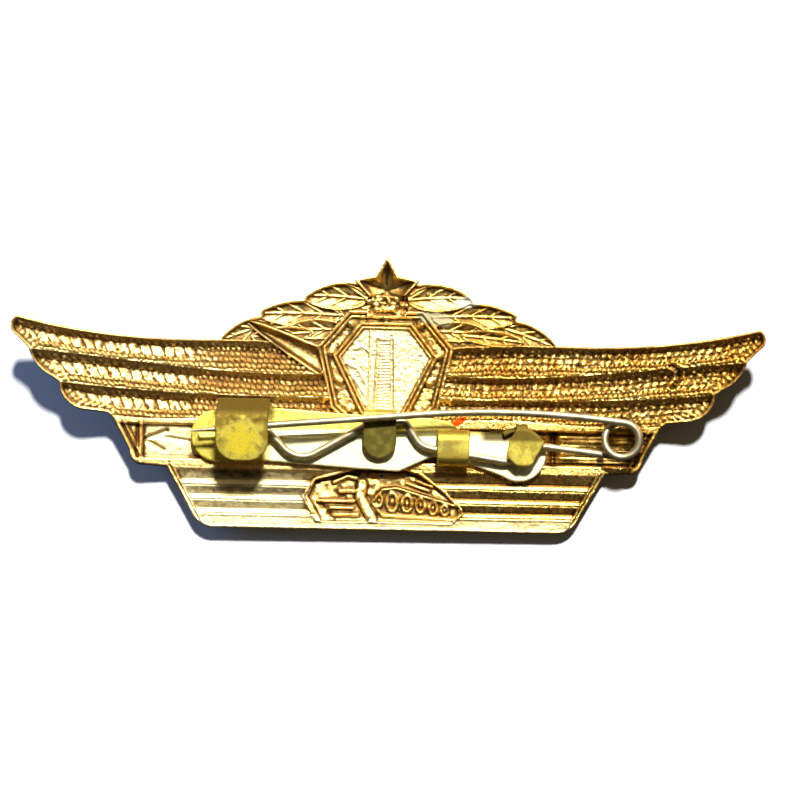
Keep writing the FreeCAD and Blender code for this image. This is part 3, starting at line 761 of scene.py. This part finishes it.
def badge_shell(material):
    """The whole stamping: a finely meshed back, a front, and the wall between them."""
    loop = outline(RIM_STEP)
    x, z, triangles, rim = triangulated(loop, BACK_STEP)
    depth = relief(x, z, edge_distance(x, z, loop))[0]
    back = np.stack([x, BACK + arch(x) - depth, z], 1)
    fx, fz, front_triangles, front_rim = triangulated(loop, FRONT_STEP)
    front_depth = relief(fx, fz, edge_distance(fx, fz, loop))[1]
    front = np.stack([fx, BACK + arch(fx) - SHEET - front_depth, fz], 1)
    count = len(x)
    faces = (triangles[:, ::-1]).tolist() + (front_triangles + count).tolist()
    for i in range(len(loop)):
        j = (i + 1) % len(loop)
        faces.append([rim[j], rim[i], front_rim[i] + count, front_rim[j] + count])
    clean = np.zeros(len(fx))
    shares = {
        "hollow": np.append(cavity(depth, triangles), -cavity(front_depth, front_triangles)),
        # rubbed gilding and painted sheen
        "wear_and_sheen": np.append(wear_and_sheen_share(x, z), clean),
        # painted shade, on the back only
        "painted_shade": np.append(painted_shade_share(x, z), clean)}
    obj = mesh_object("badge_stamping", np.concatenate([back, front]), faces, material, shares)
    stain = np.concatenate([stain_colours(x, z), np.zeros((len(fx), 4))])
    layer = obj.data.attributes.new("stain", "FLOAT_COLOR", "POINT")
    layer.data.foreach_set("color", stain.astype(np.float32).ravel())
    return obj


def rounded_path(corners, bends, spacing):
    """A chain of straight lines, each inner corner rounded with its own radius."""
    points = [tuple(corners[0])]
    for before, corner, after, radius in zip(corners, corners[1:], corners[2:], bends):
        a, b, c = (np.array(p, float) for p in (before, corner, after))
        back, ahead = (a - b) / np.linalg.norm(a - b), (c - b) / np.linalg.norm(c - b)
        half = math.acos(np.clip(back @ ahead, -1, 1)) / 2
        reach = radius / math.tan(half)
        middle = (back + ahead) / np.linalg.norm(back + ahead)
        centre = b + middle * radius / math.sin(half)
        start, end = b + back * reach, b + ahead * reach
        points += straight(points[-1], start, spacing)
        points += arc(tuple(start), tuple(centre - middle * radius), tuple(end), 0.12)
    return points + straight(points[-1], corners[-1], spacing)


END_RING = 0.004  # how close the second ring is to a wire's end


def wire(name, points, radii, material, sides=28):
    """Round wire of one or changing radius, along points that never run along Y, with flat ends."""
    p = np.array(points)
    r = np.broadcast_to(radii, len(p))[:, None]
    along = np.gradient(p, axis=0, edge_order=2)
    along /= np.linalg.norm(along, axis=1)[:, None]
    # the second rings keep the flat caps from bending the wire's shading
    second, last_but_one = p[:1] + END_RING * along[:1], p[-1:] - END_RING * along[-1:]
    p = np.concatenate([p[:1], second, p[1:-1], last_but_one, p[-1:]])
    r, along = (np.concatenate([rows[:1], rows, rows[-1:]]) for rows in (r, along))
    up = np.array([0, 1, 0]) - along * along[:, 1:2]
    up /= np.linalg.norm(up, axis=1)[:, None]
    side = np.cross(along, up)
    rings = [p + r * (math.cos(t) * up + math.sin(t) * side)
             for t in (2 * math.pi * k / sides for k in range(sides))]
    vertices = np.stack(rings, 1).reshape(-1, 3)
    faces = []
    for i in range(len(p) - 1):
        for k in range(sides):
            n = (k + 1) % sides
            faces.append([i * sides + k, (i + 1) * sides + k, (i + 1) * sides + n, i * sides + n])
    faces.append(list(range(sides)))
    faces.append([(len(p) - 1) * sides + k for k in reversed(range(sides))])
    obj = mesh_object(name, vertices, faces, material)
    for polygon in list(obj.data.polygons)[-2:]:
        polygon.use_smooth = False
    return obj


# ---- materials

class Shader:
    """Short names for the nodes of a material or of the world. Places are in millimetres."""

    def __init__(self, owner):
        self.owner = owner
        self.owner.use_nodes = True
        self.tree = self.owner.node_tree
        self.tree.nodes.clear()
        place = self.node("TexCoord").outputs["Object"]
        scaled = self.node("VectorMath", {0: place, "Scale": 1 / MM}, operation="SCALE")
        self.place = scaled.outputs[0]

    def node(self, kind, inputs=None, **settings):
        node = self.tree.nodes.new("ShaderNode" + kind)
        for key, value in settings.items():
            setattr(node, key, value)
        for key, value in (inputs or {}).items():
            if isinstance(value, bpy.types.NodeSocket):
                self.tree.links.new(value, node.inputs[key])
            else:
                node.inputs[key].default_value = value
        return node

    def noise(self, scale, detail=3, stretch=(1, 1, 1)):
        place = self.node("Mapping", {"Vector": self.place, "Scale": stretch}).outputs[0]
        inputs = {"Vector": place, "Scale": scale, "Detail": detail}
        return self.node("TexNoise", inputs).outputs[0]

    def attribute(self, name, output="Fac"):
        return self.node("Attribute", attribute_name=name).outputs[output]

    def axis(self, index):
        return self.node("SeparateXYZ", {0: self.place}).outputs[index]

    def math(self, operation, a, b=0):
        return self.node("Math", {0: a, 1: b}, operation=operation).outputs[0]

    def plus(self, a, b):
        return self.math("ADD", a, b)

    def minus(self, a, b):
        return self.math("SUBTRACT", a, b)

    def apart(self, a, b):
        return self.math("ABSOLUTE", self.minus(a, b))

    def larger(self, a, b):
        return self.math("MAXIMUM", a, b)

    def times(self, first, *others):
        for other in others:
            first = self.math("MULTIPLY", first, other)
        return first

    def weighted(self, start, *terms):
        """A start value plus each term's value times its weight."""
        for value, weight in terms:
            start = self.plus(start, self.times(value, weight))
        return start

    def fit(self, value, low, high, first=0, last=1):
        inputs = {"Value": value, "From Min": low, "From Max": high, "To Min": first, "To Max": last}
        return self.node("MapRange", inputs, interpolation_type="SMOOTHSTEP").outputs["Result"]

    def mix(self, share, a, b):
        return self.node("Mix", {0: share, 6: a, 7: b}, data_type="RGBA").outputs[2]

    def bump(self, height, distance, strength):
        inputs = {"Height": height, "Distance": distance * MM, "Strength": strength}
        return self.node("Bump", inputs).outputs[0]

    def unseen_by_table(self, colour):
        """Keeps the gold from throwing light into the dark shadow beside it on the table."""
        bounced = self.node("LightPath").outputs["Is Diffuse Ray"]
        return self.mix(bounced, colour, rgb(0, 0, 0))

    def surface(self, **inputs):
        named = {key.replace("_", " "): value for key, value in inputs.items()}
        shader = self.node("BsdfPrincipled", named)
        self.node("OutputMaterial", {"Surface": shader.outputs[0]})
        return self.owner


def look(name):
    return Shader(bpy.data.materials.new(name))


def rgb(red, green, blue):
    return (red, green, blue, 1)


def gilt_brass():
    """Warm gilt: bright on the ridges, near black with tarnish in the grooves and with painted shade, pale
    where rubbed and where a sheen is painted, and with painted light that makes it paler towards the catch's
    end.
    """
    s = look("gilt_brass_look")
    slow, fine, grain = s.noise(0.22, 4), s.noise(2.6, 5), s.noise(12, 3)
    wear_and_sheen = s.attribute("wear_and_sheen")

    # painted light: the gilt is painted paler towards the catch's end, as if lit more brightly there
    painted_light_side = s.fit(s.axis(0), -13, 17)
    colour = s.mix(s.fit(slow, 0.36, 0.64), rgb(1, 0.68, 0.19), rgb(0.96, 0.54, 0.1))
    colour = s.mix(s.times(painted_light_side, 0.45), colour, rgb(1, 0.8, 0.38))
    colour = s.mix(s.fit(fine, 0.5, 0.72, 0, 0.55), colour, rgb(0.7, 0.33, 0.05))
    # pale for rubbed gilding and for the painted sheen on flat faces
    rubbed_and_sheen = s.times(wear_and_sheen, s.fit(fine, 0.3, 0.55, 0.5, 1))
    colour = s.mix(rubbed_and_sheen, colour, rgb(1, 0.87, 0.48))

    uneven = s.weighted(s.attribute("hollow"), (s.minus(fine, 0.5), 0.06))
    tarnish_and_shade = s.times(s.fit(uneven, -0.045, 0.006, 1, 0), s.fit(wear_and_sheen, 0.2, 0.9, 0.92, 0.3))
    # painted shade joins the patina of the grooves, in the same near black brown
    tarnish_and_shade = s.larger(tarnish_and_shade, s.times(s.attribute("painted_shade"), s.fit(grain, 0.3, 0.62, 1, 0.6)))
    colour = s.mix(tarnish_and_shade, colour, rgb(0.085, 0.036, 0.008))

    stain = s.attribute("stain", "Color")
    patch = s.times(s.attribute("stain", "Alpha"), s.fit(fine, 0.25, 0.6, 0.5, 1.6))
    patch = s.fit(patch, 0.25, 0.65)
    colour = s.mix(patch, colour, stain)
    # the greener a stain, the less it shines like metal
    green = s.node("SeparateColor", {0: stain}).outputs[1]
    metal = s.minus(1, s.times(patch, s.fit(green, 0.1, 0.3), 0.95))

    near_tip = s.fit(s.apart(s.axis(0), 0), 22, 34)
    rough = s.weighted(
        s.fit(fine, 0.3, 0.7, 0.25, 0.33),
        (painted_light_side, 0.08), (near_tip, 0.08), (tarnish_and_shade, 0.06), (rubbed_and_sheen, 0.16), (patch, 0.3))
    normal = s.bump(s.weighted(fine, (grain, 0.8)), 0.06, 0.8)
    colour = s.unseen_by_table(colour)
    return s.surface(Base_Color=colour, Metallic=metal, Roughness=rough, Normal=normal)


def raw_brass():
    """Bare olive-yellow brass strip with a sandy grain, with painted shade on its tabs and at the catch and
    a painted sheen along the plate's lower edge.
    """
    s = look("raw_brass_look")
    slow, blotches, sand, grit = s.noise(0.45, 4), s.noise(1.3, 5), s.noise(9, 4), s.noise(22, 2)
    scratches = s.noise(1, 3, (5, 3, 0.7))
    uneven = s.minus(blotches, 0.5)
    x, y, z = s.axis(0), s.axis(1), s.axis(2)
    lifted = s.fit(y, -0.6, -0.2)
    near_catch = s.fit(s.apart(x, CATCH_X), 2.7, 3.4, 1, 0)
    short_of_catch = s.fit(x, 11, 12.5, 1, 0)

    # painted sheen: the flat plate is painted palest along its lower edge, where it reflects the light
    painted_sheen = s.times(short_of_catch, s.minus(1, lifted), s.fit(z, -3.2, -4.3, 0.25, 1))
    painted_sheen_colour = s.mix(s.fit(z, -3.4, -4.3), rgb(1, 0.9, 0.34), rgb(1, 0.97, 0.64))
    colour = s.mix(s.fit(slow, 0.38, 0.62), rgb(0.98, 0.82, 0.14), rgb(0.8, 0.66, 0.11))
    colour = s.mix(painted_sheen, colour, painted_sheen_colour)

    # painted shade: the centre tab and the clip are darkened where they tilt from the light, and the clip's
    # rolled faces above and below its middle are painted brown
    painted_tab_shade = s.times(s.fit(x, -9.5, -6.5), short_of_catch, lifted, s.fit(blotches, 0.35, 0.6, 0.6, 0.95))
    colour = s.mix(painted_tab_shade, colour, rgb(0.22, 0.19, 0.05))
    on_clip = s.times(s.fit(x, -9.2, -8.6), s.fit(x, -5.2, -4.7, 1, 0), lifted)
    painted_roll_shade = s.times(on_clip, s.fit(s.apart(z, -5.15), 0.3, 0.9), 0.85)
    colour = s.mix(painted_roll_shade, colour, rgb(0.3, 0.22, 0.03))

    # blotches and grains of tarnish, fewer where the plate has its painted sheen
    fewer = s.minus(1, s.times(painted_sheen, 0.8))
    colour = s.mix(s.times(s.fit(blotches, 0.48, 0.64, 0, 0.55), fewer), colour, rgb(0.42, 0.29, 0.04))
    colour = s.mix(s.times(s.fit(sand, 0.5, 0.66, 0, 0.6), fewer), colour, rgb(0.42, 0.3, 0.05))

    # painted light on the catch's leaf: a painted highlight round its middle, and painted shade, brown with
    # sandy grain, towards its curled edges
    on_leaf = s.times(near_catch, lifted)
    away = s.node("CombineXYZ", {0: s.minus(x, CATCH_X), 2: s.plus(z, 4.9)}).outputs[0]
    away = s.node("VectorMath", {0: away}, operation="LENGTH").outputs["Value"]
    away = s.weighted(away, (uneven, 3))
    colour = s.mix(s.times(on_leaf, s.fit(away, 0.9, 2, 1, 0)), colour, rgb(1, 0.8, 0.06))
    leaf_edge_shade_and_grain = s.larger(s.fit(away, 1.6, 3, 0, 0.8), s.fit(sand, 0.52, 0.66, 0, 0.6))
    colour = s.mix(s.times(on_leaf, leaf_edge_shade_and_grain), colour, rgb(0.38, 0.25, 0.03))

    # painted shade: brown in the fold of the end tab and at the top of the catch
    end_fold = s.times(s.fit(x, -9, -10), s.fit(z, -4.8, -4.2))
    catch_top = s.times(near_catch, s.fit(s.weighted(z, (uneven, 1.6)), -3.5, -2.2))
    fold_shade = s.larger(end_fold, catch_top)
    colour = s.mix(s.times(fold_shade, 0.9), colour, rgb(0.17, 0.11, 0.02))

    rough = s.weighted(s.fit(sand, 0.35, 0.65, 0.46, 0.56), (grit, 0.05), (painted_sheen, 0.05), (fold_shade, 0.22))
    height = s.weighted(sand, (grit, 0.3), (slow, 0.8), (s.times(near_catch, scratches), 0.4))
    return s.surface(Base_Color=colour, Metallic=1, Roughness=rough, Normal=s.bump(height, 0.03, 0.6))


def spring_steel():
    """Drawn steel wire, dulled and slightly browned."""
    s = look("spring_steel_look")
    slow, grain = s.noise(0.8, 4), s.noise(14, 4)
    colour = s.mix(s.fit(slow, 0.35, 0.65), rgb(0.54, 0.47, 0.31), rgb(0.36, 0.31, 0.18))
    colour = s.mix(s.fit(grain, 0.52, 0.72, 0, 0.5), colour, rgb(0.22, 0.18, 0.1))
    rough = s.fit(grain, 0.3, 0.7, 0.48, 0.6)
    return s.surface(Base_Color=colour, Metallic=1, Roughness=rough, Normal=s.bump(grain, 0.012, 0.6))


def solder_grey():
    s = look("solder_look")
    lumps, grain = s.noise(1.6, 4), s.noise(10, 3)
    colour = s.mix(s.fit(lumps, 0.35, 0.65), rgb(0.55, 0.54, 0.52), rgb(0.34, 0.33, 0.31))
    rough = s.fit(grain, 0.3, 0.7, 0.32, 0.55)
    return s.surface(Base_Color=colour, Metallic=1, Roughness=rough, Normal=s.bump(lumps, 0.12, 0.7))


def enamel(name, deep, light):
    """Glossy cold enamel with slight mottling and an orange-peel surface."""
    s = look(name)
    slow, specks = s.noise(0.6, 4), s.noise(9, 3)
    colour = s.mix(s.fit(slow, 0.35, 0.65), deep, light)
    colour = s.mix(s.fit(specks, 0.66, 0.8, 0, 0.4), colour, rgb(0.01, 0.01, 0.012))
    rough = s.fit(specks, 0.3, 0.7, 0.1, 0.22)
    normal = s.bump(s.weighted(slow, (specks, 0.06)), 0.12, 0.35)
    return s.surface(Base_Color=colour, Roughness=rough, Normal=normal, Coat_Weight=0.6, Coat_Roughness=0.06)


# ---- pieces

GILT, RAW, STEEL = gilt_brass(), raw_brass(), spring_steel()


def dress(mesh, material):
    mesh.materials.clear()
    mesh.materials.append(material)


def rounded_copy(node, name, voxel, material):
    """A finely remeshed copy of a CAD node, so that its cut edges are softened like pressed sheet."""
    obj = placed(name, frame["nodes"][node].data.copy())
    remesh = obj.modifiers.new("remesh", "REMESH")
    remesh.mode = "VOXEL"
    remesh.voxel_size = voxel * MM
    remesh.use_smooth_shade = True
    soften = obj.modifiers.new("soften", "SMOOTH")
    soften.factor = 0.5
    soften.iterations = 5
    depsgraph = bpy.context.evaluated_depsgraph_get()
    result = bpy.data.meshes.new_from_object(obj.evaluated_get(depsgraph))
    obj.modifiers.clear()
    obj.data = result
    dress(result, material)
    return obj


def stands_for(node):
    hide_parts(node)


badge = badge_shell(GILT)
stands_for("badge_body")
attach(badge, "badge")

plate = rounded_copy("mounting_plate", "pin_plate", PLATE_VOXEL, RAW)
stands_for("mounting_plate")
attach(plate, "badge")

RED = enamel("red_enamel_look", rgb(0.42, 0.006, 0.008), rgb(0.6, 0.015, 0.012))
BLUE = enamel("blue_enamel_look", rgb(0.008, 0.035, 0.2), rgb(0.015, 0.07, 0.33))
for node, material in (("star_enamel", RED), ("shield_enamel", BLUE), ("solder", solder_grey())):
    dress(frame["nodes"][node].data, material)

WIRE_RADIUS = 0.36
COIL_RADIUS = 1.7
COIL_STEPS = 180
LEG_TILT = math.radians(7.2)
LEG_BENDS = [
    (-15.6, -4.9, 1.5), (-11.9, -6.5, 1.5), (-3.44, -5.19, 2.2), (-1.8, -2.65, 0.7),
    (1.9, -3.12, 1), (8.74, -7.03, 2.6), (11.9, -3.75, 1), (13.8, -3.2, 0)]

leg_start = (COIL[0] + COIL_RADIUS * math.sin(LEG_TILT), COIL[2] - COIL_RADIUS * math.cos(LEG_TILT))
leg_corners = [leg_start] + [(x, z) for x, z, bend in LEG_BENDS]
leg_path = rounded_path(leg_corners, [bend for x, z, bend in LEG_BENDS], 0.5)
leg = wire("anchor_leg", [(x, ANCHOR_Y, z) for x, z in leg_path], WIRE_RADIUS, STEEL)
stands_for("anchor_wire")
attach(leg, "badge")

first = math.atan2(leg_start[1] - COIL[2], leg_start[0] - COIL[0])
last = math.atan2(SHANK_ROOT[2] - COIL[2], SHANK_ROOT[0] - COIL[0])
while last > first - 2.5 * math.pi:
    last -= 2 * math.pi
coil_points = []
for i in range(COIL_STEPS + 1):
    t = i / COIL_STEPS
    turn = first + (last - first) * t
    rise = t - math.sin(2 * math.pi * t) / (2 * math.pi)
    coil_points.append((
        COIL[0] + COIL_RADIUS * math.cos(turn),
        ANCHOR_Y + (SHANK_Y - ANCHOR_Y) * rise,
        COIL[2] + COIL_RADIUS * math.sin(turn)))
coil = wire("spring_loop", coil_points, WIRE_RADIUS, STEEL)
stands_for("spring_coil")
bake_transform(coil)

MOUNT = frame["record"]["mounts"][0]
MOUNT_MIDDLE = 10.3
POINT_AT = 22.9
# how far along the straight stretch, and the wire's radius there
SHANK_PROFILE = [
    (0, WIRE_RADIUS), (5, WIRE_RADIUS), (7.3, 0.33), (13.3, 0.33), (15.6, 0.345), (19.4, 0.31),
    (22.3, 0.13), (22.8, 0.075), (POINT_AT, 0.02)]
heading = (MOUNT["axis"][0], MOUNT["axis"][2])
shank_start = tuple(MOUNT["pos_m"][k] / MM - MOUNT_MIDDLE * MOUNT["axis"][k] for k in (0, 2))
root = (SHANK_ROOT[0], SHANK_ROOT[2])
chord = math.dist(root, shank_start)
chord_turn = math.atan2(shank_start[1] - root[1], shank_start[0] - root[0])
half_bend = chord_turn - math.atan2(heading[1], heading[0])
bow = chord / 2 * math.tan(half_bend / 2)
middle = (
    (root[0] + shank_start[0]) / 2 - bow * math.sin(chord_turn),
    (root[1] + shank_start[1]) / 2 + bow * math.cos(chord_turn))
shank_path = [root] + arc(root, middle, shank_start, 0.4)
bowed = len(shank_path) - 1
point = (shank_start[0] + POINT_AT * heading[0], shank_start[1] + POINT_AT * heading[1])
shank_path += straight(shank_start, point, 0.1)
distances = [0] * bowed + [math.dist(p, shank_start) for p in shank_path[bowed:]]
shank_radii = np.interp(distances, *zip(*SHANK_PROFILE))
shank = wire("sharp_shank", [(x, SHANK_Y, z) for x, z in shank_path], shank_radii, STEEL)
stands_for("pin_shank")
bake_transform(shank)


# ---- floor, light and camera

def flat_sheet(name, corners, material):
    """Part of the stage; the metal neither mirrors it nor is lit by it."""
    sheet = mesh_object(name, corners, [(0, 1, 2, 3)], material)
    sheet.visible_glossy = False
    sheet.visible_diffuse = False
    return sheet


def paper(name, one_sided):
    """Matt white; a one-sided sheet can't be seen from behind."""
    s = look(name)
    colour = s.mix(s.noise(0.02, 2), rgb(0.93, 0.93, 0.94), rgb(0.9, 0.9, 0.9))
    shader = s.node("BsdfDiffuse", {"Color": colour}).outputs[0]
    if one_sided:
        behind = s.node("NewGeometry").outputs["Backfacing"]
        clear = s.node("BsdfTransparent").outputs[0]
        shader = s.node("MixShader", {0: behind, 1: shader, 2: clear}).outputs[0]
    s.node("OutputMaterial", {"Surface": shader})
    return s.owner


SHEET_Y = FRONT - 0.12
SHEET_TILT = 0.012
FLOOR_Z = -60
FAR = 900
table_corners = [
    (x, SHEET_Y - x * SHEET_TILT, z) for x, z in ((FAR, FLOOR_Z), (-FAR, FLOOR_Z), (-FAR, FAR), (FAR, FAR))]
table_top = flat_sheet("table_top", table_corners, paper("table_paper", True))
table_top.visible_shadow = False
floor_corners = [(x, y, FLOOR_Z) for x, y in ((-FAR, -FAR), (FAR, -FAR), (FAR, FAR), (-FAR, FAR))]
flat_sheet("floor", floor_corners, paper("floor_paper", False))


def lamp(name, kind, direction, energy, colour=(1, 1, 1)):
    light = bpy.data.lights.new(name, kind)
    light.energy = energy
    light.color = colour
    obj = placed(name, light)
    obj.rotation_euler = Vector(direction).to_track_quat("Z", "Y").to_euler()
    return obj


lamp("key", "SUN", (-0.09, 0.78, 0.62), 7).data.angle = math.radians(7)
lamp("front_fill", "SUN", (0.3, -0.8, 0.5), 3.6).data.angle = math.radians(30)

# a cool window beyond the catch's end, which fills the shadow on that side
window_place = Vector((0.1, 0.03, 0.02))
lit_place = Vector((0.03, SHEET_Y * MM, 0))
window = lamp("window", "AREA", window_place - lit_place, 0.026, (0.22, 0.45, 1))
window.location = window_place
window.data.shape = "RECTANGLE"
window.data.size = 0.05
window.data.size_y = 0.06
window.visible_glossy = False

world = bpy.data.worlds.new("studio")
bpy.context.scene.world = world
world.cycles.sampling_method = "NONE"


def studio_light():
    """Bright overhead and behind the camera, dark and brown from below; only shiny things see it."""
    s = Shader(world)
    way = s.node("TexCoord").outputs["Generated"]
    x, y, z = s.node("SeparateXYZ", {0: way}).outputs
    overhead = s.fit(z, 0.05, 0.85)
    side = s.fit(x, -0.6, 0.5, 1.9, 0.6)
    in_front = s.times(s.fit(y, -0.25, -0.9), s.fit(z, -0.6, 0.6, 0.15, 0.8))
    level = s.weighted(s.plus(in_front, 0.014), (s.times(overhead, side), 0.6))
    tint = s.mix(overhead, rgb(1, 0.8, 0.6), rgb(1, 0.98, 0.95))
    shiny = s.node("Background", {"Color": tint, "Strength": level}).outputs[0]
    matt = s.node("Background", {"Color": rgb(1, 0.78, 0.42), "Strength": 0.06}).outputs[0]
    seen = s.node("Background", {"Color": rgb(1, 1, 1), "Strength": 1.1}).outputs[0]
    path = s.node("LightPath").outputs
    ambient = s.node("MixShader", {0: path["Is Glossy Ray"], 1: matt, 2: shiny}).outputs[0]
    final = s.node("MixShader", {0: path["Is Camera Ray"], 1: ambient, 2: seen}).outputs[0]
    s.node("OutputWorld", {"Surface": final})


studio_light()

VIEW_WIDTH = 79.44
LENS = 135
SENSOR = 36
AIM = (-1.29, BACK + 0.6, -0.59)
ROLL = math.radians(1.2)
camera_data = bpy.data.cameras.new("camera")
camera_data.lens = LENS
camera_data.sensor_width = SENSOR
camera_data.clip_start = 0.005
camera_data.clip_end = 20
camera = placed("camera", camera_data)
distance = VIEW_WIDTH * LENS / SENSOR
camera.location = (AIM[0] * MM, (AIM[1] + distance) * MM, AIM[2] * MM)
camera.rotation_euler = (math.radians(90), -ROLL, math.radians(180))
bpy.context.scene.camera = camera
bpy.context.scene.view_settings.view_transform = "Standard"
